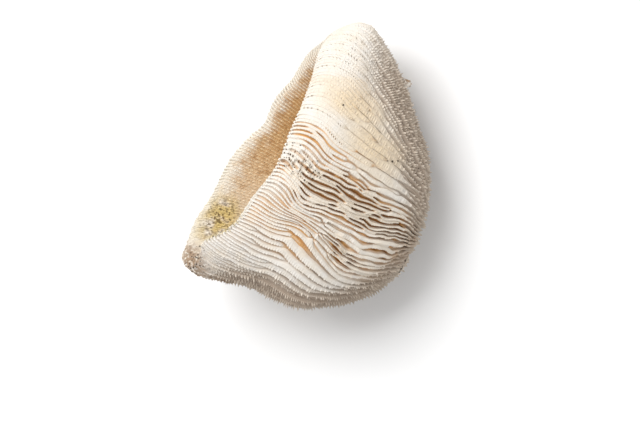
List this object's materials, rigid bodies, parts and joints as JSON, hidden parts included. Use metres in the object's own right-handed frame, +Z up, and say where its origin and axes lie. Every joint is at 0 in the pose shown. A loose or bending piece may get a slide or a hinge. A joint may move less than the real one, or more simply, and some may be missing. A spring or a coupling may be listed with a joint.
{
  "type": "mushroom coral skeleton",
  "caption": "Helmet-shaped mushroom coral skeleton lying on its flank: a high dome of thin toothed blades running from a mouth slit to a scalloped rim, over a deep finely ribbed hollow",
  "frame": {"origin": "middle of the bounding box's footprint, on the surface the coral lies on", "axes": "+X from the hollow's mouth towards the dome's crest, tilted down a little; +Y along the coral's length from heel to nose; +Z up, out of the flank that faces the camera in the picture"},
  "size_m": [0.0794, 0.108, 0.072],
  "materials": {
    "coral_skeleton": "dry, chalky and matte, creamy white with tan and brown staining between the blades"
  },
  "bodies": {
    "root": {"coral": "coral_skeleton"}
  },
  "joints": []
}
